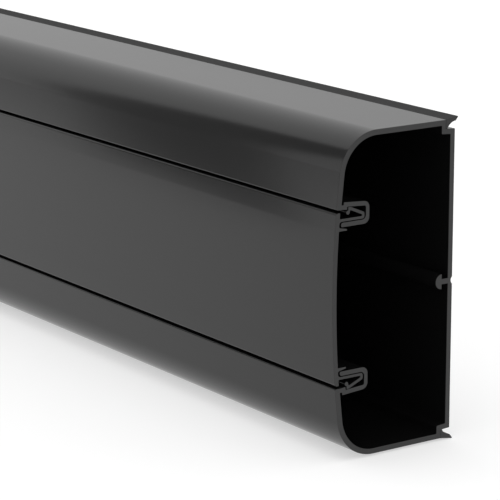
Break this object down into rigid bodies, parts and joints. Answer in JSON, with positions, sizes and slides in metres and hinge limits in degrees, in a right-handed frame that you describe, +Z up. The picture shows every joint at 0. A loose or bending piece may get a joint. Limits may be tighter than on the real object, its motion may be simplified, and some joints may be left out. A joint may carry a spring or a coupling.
{
  "type": "cord cover raceway",
  "caption": "Straight length of cable trunking with a bowed clip-on cover, folded clip channels, a middle rail and soft lips that seal it to a wall.",
  "frame": {"origin": "middle of the length and of the depth over the lips, at the lowest point of the lower lip", "axes": "+X along the length, -Y out of the bowed front, +Y into the wall, +Z up"},
  "size_m": [2, 0.0606, 0.1319],
  "materials": {
    "rigid_pvc_channel": "black rigid PVC, satin as extruded",
    "rigid_pvc_cover": "black rigid PVC, satin as extruded",
    "soft_pvc_lip": "black soft PVC, matt"
  },
  "bodies": {
    "root": {"wall_channel": "rigid_pvc_channel", "clip_on_cover": "rigid_pvc_cover", "seal_lip_upper": "soft_pvc_lip", "seal_lip_lower": "soft_pvc_lip"}
  },
  "joints": []
}
